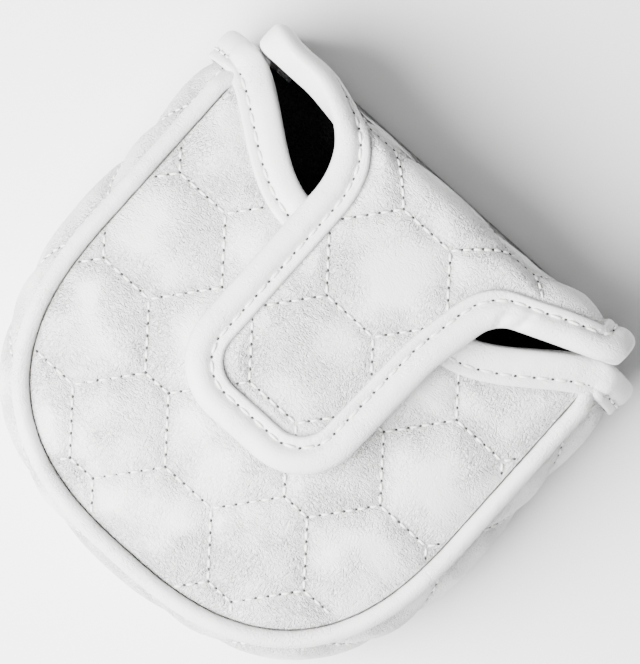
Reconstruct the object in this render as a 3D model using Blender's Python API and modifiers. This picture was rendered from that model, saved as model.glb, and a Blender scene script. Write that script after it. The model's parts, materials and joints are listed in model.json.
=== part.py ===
"""A quilted leather head cover for a mallet putter.

A D-shaped pocket (sole, side wall and crown) holds the putter's head.  It is
open at the front.  A panel hinged on the sole's front edge closes that mouth
and carries a flap, which folds back over the crown and is held by magnets.
+X is the heel side, -Y the face side, +Z up, and the sole rests on z = 0.
Every panel is a stack of leather, foam and lining, listed from the outside in.
"""

import math

import bmesh
import bpy
import numpy as np

# Stack of the pocket's panels, metres
LEATHER = 0.0010
FOAM = 0.0025
LINING = 0.0010
GAP = 0.0003
# Stack of the face panel and the flap
FLAP_LEATHER = 0.0009
FLAP_FOAM = 0.0020
FLAP_LINING = 0.0009

# Crown seam line: straight sides from the front to y = 0, then a rounded rear
SEAM_HALF_WIDTH = 0.0497
SEAM_REAR = 0.0502
SEAM_POWER = 2.65
CROWN_HEIGHT = 0.0410
CROWN_DROP = 0.0040
CROWN_ROLL_OFF = 4
CROWN_STEP_BACK = 0.6  # each deeper layer of the crown stops short by this share of its depth

# Side wall, as distances out from the seam line
WALL_TOP_OUT = 0.0032
WALL_FOOT_OUT = 0.0056
WALL_BULGE_SIDE = 0.0082
WALL_BULGE_REAR = 0.0066
WALL_TOP_DROP = 0.0024
WALL_FOOT_HEIGHT = 0.0038
WALL_WIDEST_HEIGHT = 0.0200

# Piping rolls: leather tubes with a cord inside
PIPING_RADIUS = 0.0019
PIPING_WALL = 0.0008
PIPING_CORD_GAP = 0.0002
CROWN_PIPING_OUT = 0.0022
CROWN_PIPING_DROP = 0.0002
SOLE_PIPING_OUT = 0.0033
SOLE_PIPING_LIFT = 0.0002

# Bindings: strips folded round an edge
BINDING_WIDTH = 0.0080
BINDING_THICKNESS = 0.0010
BINDING_CORNER = 0.0008
BINDING_GAP = 0.0005
EDGE_SLACK = 0.0012

# Free edge of the pocket's mouth
MOUTH_MIDDLE_Y = -0.0315
MOUTH_SIDE_Y = -0.0484
MOUTH_FLAT_HALF = 0.0200
MOUTH_CORNER_OUT = 0.0043

# Sole
SOLE_EDGE_OUT = 0.0010
SOLE_PADDING_CLEARANCE = 0.0010

# Face panel and flap
FACE_TO_MOUTH = 0.0009
FACE_HALF_WIDTH_OUT = 0.0016
FACE_FOOT_GAP = 0.0003
FOLD_RADIUS = 0.0080
HINGE_BELOW_SHOULDER = 0.0010
TONGUE_HALF_WIDTH = 0.0213
TONGUE_TIP_Y = 0.0168
TONGUE_CORNER = 0.0150
TONGUE_ROOT_HALF_WIDTH = 0.0258
TONGUE_ROOT_Y = -0.0380
TONGUE_TAPER_HALF_WIDTH = 0.0226
TONGUE_TAPER_Y = -0.0225
TOE_SHOULDER_DROP = 0.0013
HEEL_SHOULDER_DROP = 0.0050
SHOULDER_CORNER = 0.0090
TOE_SHOULDER_FILLET = 0.0080
TAPER_FILLET = 0.0400
NECK_NOTCH_RADIUS = 0.0190

# Closure magnets
MAGNET_RADIUS = 0.0060
MAGNET_SPACING = 0.0180
MAGNET_Y = 0.0040
MAGNET_SLACK = 0.0004

# Mesh spacing
SEAM_STEPS = 26
WALL_STEPS = 5
CROWN_COLUMNS = 18
CROWN_ROWS = 7
FLAP_COLUMNS = 6
EDGE_STEP = 0.0030
EDGE_LONG_STEP = 0.0300
ROUND_TURN = math.radians(18)
FOLD_ROWS = 8
LEAST_ROW_STEP = 0.0011
SECTION_STEPS = 60
MOUTH_CROWN_STEPS = 11
MOUTH_CORNER_STEPS = 3
MOUTH_WALL_STEPS = 6
ROUND_SIDES = 24

# Derived sizes
STACK = LEATHER + FOAM + LINING + 2 * GAP
FLAP_STACK = FLAP_LEATHER + FLAP_FOAM + FLAP_LINING + 2 * GAP
EDGE_INSET = BINDING_THICKNESS + EDGE_SLACK
PROUD = BINDING_THICKNESS + BINDING_GAP
SEAM_HEIGHT = CROWN_HEIGHT - CROWN_DROP
WALL_TOP_HEIGHT = SEAM_HEIGHT - WALL_TOP_DROP
FLAP_HEIGHT = CROWN_HEIGHT + PROUD + GAP + PROUD + FLAP_STACK
FACE_Y = MOUTH_SIDE_Y - FACE_TO_MOUTH - PROUD - FLAP_STACK
FACE_HALF_WIDTH = SEAM_HALF_WIDTH + FACE_HALF_WIDTH_OUT
FACE_FOOT = LEATHER + FACE_FOOT_GAP
FACE_RISE = FLAP_HEIGHT - FOLD_RADIUS - FACE_FOOT
TOP_START = FACE_RISE + FOLD_RADIUS * math.pi / 2
HINGE_ALONG = TOP_START - HEEL_SHOULDER_DROP - SHOULDER_CORNER - HINGE_BELOW_SHOULDER
HINGE_Y = FACE_Y - PROUD
FACE_HINGE = (0.0, HINGE_Y, LEATHER + GAP / 2)
FLAP_HINGE = (0.0, HINGE_Y, FACE_FOOT + HINGE_ALONG)
SOLE_FRONT_Y = FACE_Y
SOLE_PADDING_FRONT_Y = MOUTH_SIDE_Y
SOLE_PADDING_OUT = WALL_FOOT_OUT - STACK - SOLE_PADDING_CLEARANCE


def smoothstep(t):
    """0 below t = 0, 1 above t = 1, 3t^2 - 2t^3 between."""
    t = np.clip(t, 0, 1)
    return t * t * (3 - 2 * t)


# ---------------------------------------------------------------- surfaces


def seam_line(front_y, steps):
    """Even points along the seam line from the toe's front, round the rear, to the heel's front.

    Returns the plan points and their outward normals.
    """
    turn = np.linspace(0, np.pi, 721)
    across, back = -np.cos(turn), np.sin(turn)
    power = 2 / SEAM_POWER
    x = SEAM_HALF_WIDTH * np.sign(across) * np.abs(across) ** power
    y = SEAM_REAR * np.abs(back) ** power
    x = np.concatenate([[-SEAM_HALF_WIDTH], x, [SEAM_HALF_WIDTH]])
    y = np.concatenate([[front_y], y, [front_y]])
    length = np.concatenate([[0], np.cumsum(np.hypot(np.diff(x), np.diff(y)))])
    at = np.linspace(0, length[-1], steps + 1)
    x, y = np.interp(at, length, x), np.interp(at, length, y)
    lean = SEAM_POWER - 1
    nx = np.sign(x) * np.abs(x / SEAM_HALF_WIDTH) ** lean / SEAM_HALF_WIDTH
    ny = np.maximum(y / SEAM_REAR, 0) ** lean / SEAM_REAR
    size = np.hypot(nx, ny)
    return np.stack([x, y], 1), np.stack([nx / size, ny / size], 1)


def crown_surface(x, y, depth):
    """The domed crown, lowered along its normal by depth."""
    back = np.maximum(y, 0) / SEAM_REAR
    side = np.abs(x) / SEAM_HALF_WIDTH
    sum_of_powers = side**SEAM_POWER + back**SEAM_POWER
    z = CROWN_HEIGHT - CROWN_DROP * sum_of_powers ** (CROWN_ROLL_OFF / SEAM_POWER)
    steep = -CROWN_DROP * CROWN_ROLL_OFF * sum_of_powers ** (CROWN_ROLL_OFF / SEAM_POWER - 1)
    slope_x = steep * np.sign(x) * side ** (SEAM_POWER - 1) / SEAM_HALF_WIDTH
    slope_y = steep * back ** (SEAM_POWER - 1) / SEAM_REAR
    normal = np.stack([-slope_x, -slope_y, np.ones_like(z)], -1)
    normal /= np.linalg.norm(normal, axis=-1, keepdims=True)
    return np.stack([x, y, z], -1) - depth * normal


def wall_out(z, bulge):
    """How far the side wall stands out from the seam line at height z, and its slope."""
    upper = z > WALL_WIDEST_HEIGHT
    end_height = np.where(upper, WALL_TOP_HEIGHT, WALL_FOOT_HEIGHT)
    end_out = np.where(upper, WALL_TOP_OUT, WALL_FOOT_OUT)
    span = end_height - WALL_WIDEST_HEIGHT
    share = (z - WALL_WIDEST_HEIGHT) / span
    fall = bulge - end_out
    return bulge - fall * share**2, -2 * fall * share / span


def wall_surface(plan, normal, z, depth):
    """The side wall over the seam line's points, moved inwards by depth."""
    bulge = WALL_BULGE_REAR + (WALL_BULGE_SIDE - WALL_BULGE_REAR) * normal[:, 0] ** 2
    z, bulge = np.broadcast_arrays(z[None, :], bulge[:, None])
    out, slope = wall_out(z, bulge)
    steep = np.hypot(1, slope)
    out = out - depth / steep
    height = z + depth * slope / steep
    x = plan[:, 0, None] + normal[:, 0, None] * out
    y = plan[:, 1, None] + normal[:, 1, None] * out
    return np.stack([x, y, height], -1)


def pocket_section():
    """The pocket's outline seen from the front, from the crown's middle down to the wall's foot.

    Columns: distance along it, x, z and the outward normal's x and z.
    """
    x = np.linspace(0, SEAM_HALF_WIDTH, SECTION_STEPS)
    steep = CROWN_DROP * CROWN_ROLL_OFF / SEAM_HALF_WIDTH
    slope = -steep * (x / SEAM_HALF_WIDTH) ** (CROWN_ROLL_OFF - 1)
    crown_z = CROWN_HEIGHT - CROWN_DROP * (x / SEAM_HALF_WIDTH) ** CROWN_ROLL_OFF
    crown = np.stack([x, crown_z, -slope / np.hypot(1, slope), 1 / np.hypot(1, slope)], 1)
    z = np.linspace(WALL_TOP_HEIGHT, WALL_FOOT_HEIGHT, SECTION_STEPS)
    out, slope = wall_out(z, WALL_BULGE_SIDE)
    steep = np.hypot(1, slope)
    wall = np.stack([SEAM_HALF_WIDTH + out, z, 1 / steep, -slope / steep], 1)
    rows = np.concatenate([crown, wall])
    step = np.hypot(np.diff(rows[:, 0]), np.diff(rows[:, 1]))
    return np.column_stack([np.concatenate([[0], np.cumsum(step)]), rows])


def mouth_surface(along, y, height):
    """A point at a signed distance along the pocket's section, at y, raised by height."""
    table = pocket_section()
    side = np.where(along < 0, -1.0, 1.0)
    x, z, nx, nz = (np.interp(np.abs(along), table[:, 0], table[:, i]) for i in range(1, 5))
    size = np.hypot(nx, nz)
    return np.stack([side * (x + height * nx / size), y, z + height * nz / size], -1)


def mouth_edge(x):
    """The mouth's free edge: y over the distance from the middle."""
    end = SEAM_HALF_WIDTH + MOUTH_CORNER_OUT
    share = smoothstep((np.abs(x) - MOUTH_FLAT_HALF) / (end - MOUTH_FLAT_HALF))
    return MOUTH_MIDDLE_Y + (MOUTH_SIDE_Y - MOUTH_MIDDLE_Y) * share


def flap_surface(x, along, height):
    """A point at x and at a distance up the face, round the fold and back over the crown."""
    turn = np.clip((along - FACE_RISE) / FOLD_RADIUS, 0, np.pi / 2)
    back = np.maximum(along - TOP_START, 0)
    radius = FOLD_RADIUS + height
    y = FACE_Y + FOLD_RADIUS - radius * np.cos(turn) + back
    z = FACE_FOOT + np.minimum(along, FACE_RISE) + radius * np.sin(turn)
    return np.stack([x, y, z], -1)


def rounded_path(corners, radii):
    """A path through corners, each rounded to its radius, with normals to its left."""
    corners = np.array(corners, float)
    points, normals = [], []
    tails = [corners[0]]
    for i in range(1, len(corners) - 1):
        before = corners[i - 1] - corners[i]
        after = corners[i + 1] - corners[i]
        before, after = before / np.linalg.norm(before), after / np.linalg.norm(after)
        turn = math.pi - math.acos(np.clip(before @ after, -1, 1))
        reach = radii[i] * math.tan(turn / 2)
        start, end = corners[i] + before * reach, corners[i] + after * reach
        left = 1.0 if before[0] * after[1] - before[1] * after[0] < 0 else -1.0
        centre = start + left * radii[i] * np.array([before[1], -before[0]])
        add_straight(points, normals, tails[-1], start)
        steps = max(2, math.ceil(turn / ROUND_TURN), math.ceil(turn * radii[i] / EDGE_STEP))
        first = start - centre
        for angle in np.linspace(0, left * turn, steps + 1):
            c, s = math.cos(angle), math.sin(angle)
            spoke = np.array([c * first[0] - s * first[1], s * first[0] + c * first[1]])
            points.append(centre + spoke)
            normals.append(-left * spoke / radii[i])
        tails.append(end)
    add_straight(points, normals, tails[-1], corners[-1])
    points.append(corners[-1])
    normals.append(normals[-1])
    points, normals = np.array(points), np.array(normals)
    apart = np.linalg.norm(np.diff(points, axis=0), axis=1) > 1e-6
    keep = np.concatenate([[True], apart])
    return points[keep], normals[keep]


def add_straight(points, normals, start, end):
    """Points from start up to, but not at, end; closer together where the panel is curved."""
    run = end - start
    length = np.linalg.norm(run)
    left = np.array([-run[1], run[0]]) / length
    curved = min(start[1], end[1]) < TOP_START + BINDING_WIDTH
    count = max(1, math.ceil(length / (EDGE_STEP if curved else EDGE_LONG_STEP)))
    for share in np.arange(count) / count:
        points.append(start + run * share)
        normals.append(left)


def along_at(y):
    """The distance along the flap at which its flat top reaches y."""
    return TOP_START + y - (FACE_Y + FOLD_RADIUS)


def flap_outline():
    """The flap's free edge laid flat, from the toe hinge round the tongue to the heel hinge."""
    toe, heel = -FACE_HALF_WIDTH, FACE_HALF_WIDTH
    corners = [
        (toe, HINGE_ALONG + GAP / 2),
        (toe, TOP_START - TOE_SHOULDER_DROP),
        (-TONGUE_ROOT_HALF_WIDTH, along_at(TONGUE_ROOT_Y)),
        (-TONGUE_TAPER_HALF_WIDTH, along_at(TONGUE_TAPER_Y)),
        (-TONGUE_HALF_WIDTH, along_at(TONGUE_TIP_Y)),
        (TONGUE_HALF_WIDTH, along_at(TONGUE_TIP_Y)),
        (TONGUE_HALF_WIDTH, TOP_START - HEEL_SHOULDER_DROP),
        (heel, TOP_START - HEEL_SHOULDER_DROP),
        (heel, HINGE_ALONG + GAP / 2),
    ]
    notch = NECK_NOTCH_RADIUS
    radii = [0, SHOULDER_CORNER, TOE_SHOULDER_FILLET, TAPER_FILLET, TONGUE_CORNER]
    radii += [TONGUE_CORNER, notch, SHOULDER_CORNER, 0]
    return rounded_path(corners, radii)


# ---------------------------------------------------------------- building blocks


def collection(name):
    group = bpy.data.collections.new(name)
    bpy.context.scene.collection.children.link(group)
    return group


def move_to(obj, group):
    for owner in obj.users_collection:
        owner.objects.unlink(obj)
    group.objects.link(obj)


def material(name, colour, roughness, metallic=0.0):
    made = bpy.data.materials.new(name)
    made.use_nodes = True
    shader = made.node_tree.nodes["Principled BSDF"]
    shader.inputs["Base Color"].default_value = (*colour, 1)
    shader.inputs["Roughness"].default_value = roughness
    shader.inputs["Metallic"].default_value = metallic
    return made


def mesh_object(name, points, faces, finish, group):
    """An object from points and faces, with its normals pointing out and shaded smooth."""
    mesh = bpy.data.meshes.new(name)
    mesh.from_pydata([tuple(p) for p in points], [], faces)
    mesh.shade_smooth()
    mesh.set_sharp_from_angle(angle=math.radians(40))
    obj = bpy.data.objects.new(name, mesh)
    mesh.materials.append(finish)
    group.objects.link(obj)
    return obj


def sheet(name, grid, thickness, finish, group):
    """An open surface over a grid of points, thickened on its inner side by Solidify.

    The side that faces out is the second grid direction crossed with the first.
    """
    rows, columns = grid.shape[:2]
    index = np.arange(rows * columns).reshape(rows, columns)
    corners = index[:-1, :-1], index[:-1, 1:], index[1:, 1:], index[1:, :-1]
    faces = np.stack([c.ravel() for c in corners], 1).tolist()
    obj = mesh_object(name, grid.reshape(-1, 3), faces, finish, group)
    shell = obj.modifiers.new("thickness", "SOLIDIFY")
    shell.thickness = thickness
    shell.offset = -1
    shell.use_even_offset = True
    return obj


def loft(name, rings, finish, group):
    """A solid carried through closed rings, with a face on the first and the last."""
    count, size = rings.shape[:2]
    faces = []
    for i in range(count - 1):
        for j in range(size):
            k = (j + 1) % size
            faces.append((i * size + j, i * size + k, (i + 1) * size + k, (i + 1) * size + j))
    faces.append(tuple(range(size))[::-1])
    faces.append(tuple(range((count - 1) * size, count * size)))
    obj = mesh_object(name, rings.reshape(-1, 3), faces, finish, group)
    work = bmesh.new()
    work.from_mesh(obj.data)
    bmesh.ops.recalc_face_normals(work, faces=work.faces)
    work.to_mesh(obj.data)
    work.free()
    return obj


def binding(name, edge, outward, surface, stack, finish, group):
    """A strip folded round a panel's edge: a U section carried along the flat edge path.

    surface turns the two flat coordinates and a height above the leather into a point.
    """
    far, near = PROUD, BINDING_GAP
    legs = np.linspace(BINDING_WIDTH, BINDING_CORNER, 4)
    inner_legs = np.linspace(BINDING_THICKNESS, BINDING_WIDTH, 4)
    low_far, low_near = -stack - far, -stack - near
    section = [(q, far) for q in legs]
    section += [(0, far - BINDING_CORNER), (0, low_far + BINDING_CORNER)]
    section += [(q, low_far) for q in legs[::-1]]
    section += [(q, low_near) for q in inner_legs[::-1]]
    section += [(q, near) for q in inner_legs]
    q, h = np.array(section).T
    a = edge[:, 0, None] - q * outward[:, 0, None]
    b = edge[:, 1, None] - q * outward[:, 1, None]
    return loft(name, surface(a, b, np.broadcast_to(h, a.shape)), finish, group)


def curve_through(name, points, radius, capped):
    curve = bpy.data.curves.new(name, "CURVE")
    curve.dimensions = "3D"
    curve.bevel_depth = radius
    curve.bevel_resolution = 2
    curve.use_fill_caps = capped
    spline = curve.splines.new("POLY")
    spline.points.add(len(points) - 1)
    for spot, place in zip(spline.points, points):
        spot.co = (*place, 1)
    return curve


def piping(name, out, height, front_y, leather, cord, group):
    """A leather tube along the seam line, and the cord inside it."""
    plan, normal = seam_line(front_y, SEAM_STEPS)
    place = plan + normal * out
    points = np.column_stack([place, np.full(len(place), height)])
    path = bpy.data.objects.new(name + "_path", curve_through(name, points, PIPING_RADIUS, False))
    group.objects.link(path)
    seen = path.evaluated_get(bpy.context.evaluated_depsgraph_get())
    mesh = bpy.data.meshes.new_from_object(seen)
    bpy.data.objects.remove(path)
    mesh.name = name
    mesh.materials.clear()
    mesh.materials.append(leather)
    tube = bpy.data.objects.new(name, mesh)
    group.objects.link(tube)
    shell = tube.modifiers.new("wall", "SOLIDIFY")
    shell.thickness = PIPING_WALL
    shell.offset = -1
    core = curve_through(name + "_cord", points, PIPING_RADIUS - PIPING_WALL - PIPING_CORD_GAP, True)
    core.materials.append(cord)
    group.objects.link(bpy.data.objects.new(name + "_cord", core))


def plate(name, outline, low, thickness, finish, group):
    """A flat panel: a closed 2D outline, extruded."""
    curve = bpy.data.curves.new(name, "CURVE")
    curve.dimensions = "2D"
    curve.fill_mode = "BOTH"
    curve.extrude = thickness / 2
    spline = curve.splines.new("POLY")
    spline.points.add(len(outline) - 1)
    for spot, place in zip(spline.points, outline):
        spot.co = (*place, 0, 1)
    spline.use_cyclic_u = True
    curve.materials.append(finish)
    obj = bpy.data.objects.new(name, curve)
    obj.location.z = low + thickness / 2
    group.objects.link(obj)


def disc(name, x, y, z, radius, thickness, finish, group):
    bpy.ops.mesh.primitive_cylinder_add(
        vertices=ROUND_SIDES, radius=radius, depth=thickness, location=(x, y, z)
    )
    obj = bpy.context.active_object
    obj.name = name
    obj.data.name = name
    obj.data.shade_smooth()
    obj.data.set_sharp_from_angle(angle=math.radians(40))
    if finish:
        obj.data.materials.append(finish)
    move_to(obj, group)
    return obj


def drill(obj, x, y, z, cutters):
    """A round hole through a foam sheet, for a magnet."""
    tool = disc(obj.name + "_hole", x, y, z, MAGNET_RADIUS + MAGNET_SLACK, 4 * FOAM, None, cutters)
    tool.hide_render = True
    tool.display_type = "WIRE"
    cut = obj.modifiers.new("magnet hole", "BOOLEAN")
    cut.operation = "DIFFERENCE"
    cut.solver = "EXACT"
    cut.object = tool


def hinge(name, place, parent, group):
    empty = bpy.data.objects.new(name, None)
    empty.location = place
    group.objects.link(empty)
    hang(empty, parent)
    return empty


def hang(obj, parent):
    """Parents an object to a hinge's empty without moving it."""
    if parent:
        bpy.context.view_layer.update()
        obj.parent = parent
        obj.matrix_parent_inverse = parent.matrix_world.inverted()


# ---------------------------------------------------------------- the pocket


def crown_grid(depth):
    """Points of the crown from one side to the other, from the mouth back to the rear seam."""
    turn = np.linspace(-np.pi / 2, np.pi / 2, CROWN_COLUMNS + 1)
    half = SEAM_HALF_WIDTH - GAP - CROWN_STEP_BACK * depth
    rear = SEAM_REAR - GAP - CROWN_STEP_BACK * depth
    x = half * np.sin(turn)
    back = rear * (1 - np.abs(np.sin(turn)) ** SEAM_POWER) ** (1 / SEAM_POWER)
    step = 1e-5
    slope = (mouth_edge(x + step) - mouth_edge(x - step)) / (2 * step)
    front = mouth_edge(x) + EDGE_INSET * np.hypot(1, slope)
    share = np.linspace(0, 1, CROWN_ROWS + 1)
    y = front[:, None] + (back - front)[:, None] * share
    return crown_surface(np.broadcast_to(x[:, None], y.shape), y, depth)[::-1]


def wall_grid(depth):
    plan, normal = seam_line(MOUTH_SIDE_Y + EDGE_INSET, SEAM_STEPS)
    z = np.linspace(WALL_FOOT_HEIGHT, WALL_TOP_HEIGHT, WALL_STEPS + 1)
    return wall_surface(plan, normal, z, depth)


def sole_outline(out, front_y):
    plan, normal = seam_line(front_y, SEAM_STEPS)
    return plan + normal * out


def build_pocket(parts, cutters, finish):
    layers = (
        ("leather", 0, LEATHER),
        ("foam", LEATHER + GAP, FOAM),
        ("lining", LEATHER + FOAM + 2 * GAP, LINING),
    )
    for layer, depth, thickness in layers:
        crown = sheet("crown_" + layer, crown_grid(depth), thickness, finish[layer], parts)
        sheet("gusset_" + layer, wall_grid(depth), thickness, finish[layer], parts)
        outer = layer == "leather"
        out = SOLE_EDGE_OUT if outer else SOLE_PADDING_OUT
        front = SOLE_FRONT_Y if outer else SOLE_PADDING_FRONT_Y
        plate("sole_" + layer, sole_outline(out, front), depth, thickness, finish[layer], parts)
        if layer == "foam":
            crown_foam = crown
    for side, x in (("toe", -MAGNET_SPACING / 2), ("heel", MAGNET_SPACING / 2)):
        top = crown_surface(np.array(x), np.array(MAGNET_Y), LEATHER + GAP + FOAM / 2)
        thick = FOAM - 2 * MAGNET_SLACK
        z = float(top[2])
        disc("crown_magnet_" + side, x, MAGNET_Y, z, MAGNET_RADIUS, thick, finish["magnet"], parts)
        drill(crown_foam, x, MAGNET_Y, z, cutters)
    section = pocket_section()
    seam, wall, end = section[SECTION_STEPS - 1, 0], section[SECTION_STEPS, 0], section[-1, 0]
    half = np.concatenate([
        np.linspace(0, seam, MOUTH_CROWN_STEPS, endpoint=False),
        np.linspace(seam, wall, MOUTH_CORNER_STEPS, endpoint=False),
        np.linspace(wall, end, MOUTH_WALL_STEPS + 1),
    ])
    along = np.concatenate([-half[:0:-1], half])
    x = np.interp(np.abs(along), section[:, 0], section[:, 1])
    edge = np.stack([along, mouth_edge(x)], 1)
    run = np.gradient(edge, axis=0)
    run /= np.linalg.norm(run, axis=1, keepdims=True)
    run[0], run[-1] = (1, 0), (1, 0)
    outward = np.stack([run[:, 1], -run[:, 0]], 1)
    binding("mouth_binding", edge, outward, mouth_surface, STACK, finish["binding"], parts)
    root = edge - BINDING_WIDTH * outward
    heel = root[:, 0] > 0
    front = np.interp(seam - CROWN_PIPING_OUT, root[heel, 0], root[heel, 1]) + GAP
    height = SEAM_HEIGHT - CROWN_PIPING_DROP
    leather, cord = finish["leather"], finish["cord"]
    piping("crown_piping", CROWN_PIPING_OUT, height, front, leather, cord, parts)
    height = PIPING_RADIUS + SOLE_PIPING_LIFT
    piping("sole_piping", SOLE_PIPING_OUT, height, MOUTH_SIDE_Y, leather, cord, parts)


# ---------------------------------------------------------------- face panel and flap


def flap_grid(depth, inset):
    """Points of the flap from its hinge to the tongue's tip, within its edge less inset."""
    points, normals = flap_outline()
    points = np.round(points - inset * normals, 7)  # so that a level edge is one row exactly
    tip = int(np.argmax(points[:, 1]))
    flat_end = points[tip, 1] - 1e-6
    toe = points[: tip + 1]
    heel = points[tip:][points[tip:, 1] < flat_end][::-1]
    fold = np.linspace(HINGE_ALONG + GAP / 2, TOP_START, FOLD_ROWS)
    bends = points[(points[:, 1] > fold[0]) & (points[:, 1] < flat_end), 1]
    rows = [fold[0]]
    for along in np.sort(np.concatenate([fold, bends])):
        if along - rows[-1] >= LEAST_ROW_STEP and flat_end - along >= LEAST_ROW_STEP / 3:
            rows.append(along)
    rows = np.array([*rows, flat_end])
    left = np.interp(rows, toe[:, 1], toe[:, 0])
    right = np.interp(rows, heel[:, 1], heel[:, 0])
    share = np.linspace(0, 1, FLAP_COLUMNS + 1)
    x = left[:, None] + (right - left)[:, None] * share
    along = np.broadcast_to(rows[:, None], x.shape)
    return flap_surface(x, along, -depth)


def face_grid(depth):
    half = FACE_HALF_WIDTH - EDGE_INSET
    x = np.array([-half, 0, half])
    along = np.array([0, HINGE_ALONG - GAP / 2])
    x, along = np.meshgrid(x, along)
    return flap_surface(x, along, -depth)


def build_front(parts, cutters, finish):
    face = hinge("face_hinge", FACE_HINGE, None, parts)
    flap = hinge("flap_hinge", FLAP_HINGE, face, parts)
    layers = (
        ("leather", 0, FLAP_LEATHER),
        ("foam", FLAP_LEATHER + GAP, FLAP_FOAM),
        ("lining", FLAP_LEATHER + FLAP_FOAM + 2 * GAP, FLAP_LINING),
    )
    for layer, depth, thickness in layers:
        hang(sheet("face_" + layer, face_grid(depth), thickness, finish[layer], parts), face)
        grid = flap_grid(depth, EDGE_INSET)
        panel = sheet("flap_" + layer, grid, thickness, finish[layer], parts)
        hang(panel, flap)
        if layer == "foam":
            flap_foam = panel
    z = FLAP_HEIGHT - FLAP_LEATHER - GAP - FLAP_FOAM / 2
    for side, x in (("toe", -MAGNET_SPACING / 2), ("heel", MAGNET_SPACING / 2)):
        name = "flap_magnet_" + side
        thick = FLAP_FOAM - 2 * MAGNET_SLACK
        magnet = disc(name, x, MAGNET_Y, z, MAGNET_RADIUS, thick, finish["magnet"], parts)
        hang(magnet, flap)
        drill(flap_foam, x, MAGNET_Y, z, cutters)
    edge, outward = flap_outline()
    strip = binding("flap_binding", edge, outward, flap_surface, FLAP_STACK, finish["binding"], parts)
    hang(strip, flap)
    for side, sign in (("toe", -1), ("heel", 1)):
        ends = np.array([(sign * FACE_HALF_WIDTH, 0), (sign * FACE_HALF_WIDTH, HINGE_ALONG - GAP / 2)])
        out = np.array([(sign, 0), (sign, 0)])
        name = "face_binding_" + side
        hang(binding(name, ends, out, flap_surface, FLAP_STACK, finish["binding"], parts), face)


def main():
    for obj in list(bpy.data.objects):
        bpy.data.objects.remove(obj, do_unlink=True)
    parts, cutters = collection("putter_head_cover"), collection("cutters")
    finish = {
        "leather": material("white quilted leather", (0.86, 0.86, 0.86), 0.45),
        "binding": material("white binding leather", (0.88, 0.88, 0.88), 0.4),
        "foam": material("padding foam", (0.75, 0.73, 0.68), 0.95),
        "lining": material("charcoal plush lining", (0.03, 0.03, 0.035), 0.95),
        "cord": material("cotton piping cord", (0.8, 0.77, 0.7), 0.9),
        "magnet": material("nickel magnet", (0.62, 0.61, 0.6), 0.3, 1.0),
    }
    build_pocket(parts, cutters, finish)
    build_front(parts, cutters, finish)


main()
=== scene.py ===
"""The finished look of a quilted leather head cover for a mallet putter.

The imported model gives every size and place.  Each soft piece here is a surface
worked out with numpy over two flat coordinates, laid on the same curved forms
as the pattern pieces: the crown, the side wall, the sole, and the flap that
runs up the face, round the fold and back over the crown.
"""

import json
import math

import bpy
import numpy as np
from mathutils import Matrix, Vector


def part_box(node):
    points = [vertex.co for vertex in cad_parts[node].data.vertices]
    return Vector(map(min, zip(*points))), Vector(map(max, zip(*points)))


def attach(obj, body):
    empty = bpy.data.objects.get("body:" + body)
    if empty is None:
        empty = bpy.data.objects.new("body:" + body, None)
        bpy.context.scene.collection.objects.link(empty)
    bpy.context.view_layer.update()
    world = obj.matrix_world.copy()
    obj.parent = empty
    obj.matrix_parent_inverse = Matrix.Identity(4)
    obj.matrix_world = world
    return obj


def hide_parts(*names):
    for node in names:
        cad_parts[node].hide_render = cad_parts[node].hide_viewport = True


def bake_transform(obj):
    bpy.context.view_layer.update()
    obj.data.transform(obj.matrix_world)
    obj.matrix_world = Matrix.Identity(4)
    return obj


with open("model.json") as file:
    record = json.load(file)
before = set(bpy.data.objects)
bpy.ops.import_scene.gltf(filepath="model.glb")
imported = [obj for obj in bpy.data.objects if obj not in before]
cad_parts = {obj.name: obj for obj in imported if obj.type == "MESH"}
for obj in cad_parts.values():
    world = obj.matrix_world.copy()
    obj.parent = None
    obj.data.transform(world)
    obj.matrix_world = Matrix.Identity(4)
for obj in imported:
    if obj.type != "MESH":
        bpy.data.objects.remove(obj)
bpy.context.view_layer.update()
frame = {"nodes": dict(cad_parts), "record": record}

MM = 0.001


def corners(node):
    """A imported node's lowest and highest corner."""
    lo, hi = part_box(node)
    return np.array(lo), np.array(hi)


# ---------------------------------------------------------------- sizes

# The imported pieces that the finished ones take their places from
CROWN_HI = corners("crown_leather")[1]
WALL_LO, WALL_HI = corners("gusset_leather")
FACE_LO = corners("face_leather")[0]
FACE_LINING_HI = corners("face_lining")[1]
FLAP_HI = corners("flap_leather")[1]
SOLE_LO, SOLE_HI = corners("sole_leather")
SOLE_LINING_LO, SOLE_LINING_HI = corners("sole_lining")
ROLL_LO, ROLL_HI = corners("crown_piping")
SOLE_ROLL_LO, SOLE_ROLL_HI = corners("sole_piping")
HINGE_HEIGHT = {j["name"]: j["pos_m"][2] for j in frame["record"]["behaviour"]["joints"]}

# Thicknesses: one leather, and leather with foam and lining
LEATHER = 1.0 * MM
STACK = 5.1 * MM
FLAP_SKIN = 0.9 * MM
FLAP_FOAM = (1.2 * MM, 3.2 * MM)
FLAP_STACK = FACE_LINING_HI[1] - FACE_LO[1]

# The crown and the seam line round it
SEAM_GAP = 0.3 * MM
SEAM_X = CROWN_HI[0] + SEAM_GAP
SEAM_REAR = CROWN_HI[1] + SEAM_GAP
SEAM_POWER = 2.65
CROWN_TOP = CROWN_HI[2]
CROWN_DROP = 4.0 * MM
ROLL_OFF = 4
CROWN_STEPS = 200

# The side wall, and how far it bulges out from the seam line
WALL_TOP, WALL_FOOT = WALL_HI[2], WALL_LO[2]
WALL_OVER, WALL_UNDER = 0.45 * MM, 1.2 * MM
WALL_WIDEST = 20.0 * MM
WALL_TOP_OUT = 3.2 * MM
WALL_FOOT_OUT = 5.6 * MM
BULGE_SIDE = 8.2 * MM
BULGE_REAR = 6.6 * MM
CORD_RADIUS = 0.85 * MM

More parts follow.
